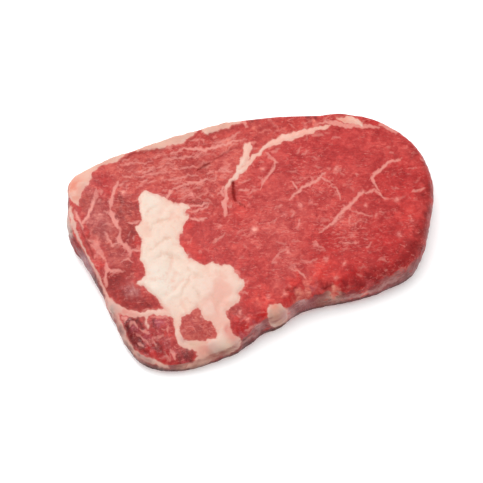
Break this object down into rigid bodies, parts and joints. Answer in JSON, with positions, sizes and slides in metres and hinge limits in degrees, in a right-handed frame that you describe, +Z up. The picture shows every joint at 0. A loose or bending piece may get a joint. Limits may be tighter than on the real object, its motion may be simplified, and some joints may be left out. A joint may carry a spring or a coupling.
{
  "type": "raw beef steak",
  "caption": "Raw boneless rib-eye steak lying flat: round eye muscle, cap muscle, a central kernel of fat and a rounded membrane wall.",
  "frame": {"origin": "on the flat resting face, under the middle of the steak's bounding box", "axes": "+X along the steak's length towards the round end of the eye muscle, +Y towards the thin fat rim, +Z up from the resting face through the thickness; -Y is the front edge where the side wall shows"},
  "size_m": [0.187, 0.129, 0.019],
  "materials": {
    "raw_beef": "wet raw meat with cream fat, satin to glossy"
  },
  "bodies": {
    "root": {"steak": "raw_beef"}
  },
  "joints": []
}
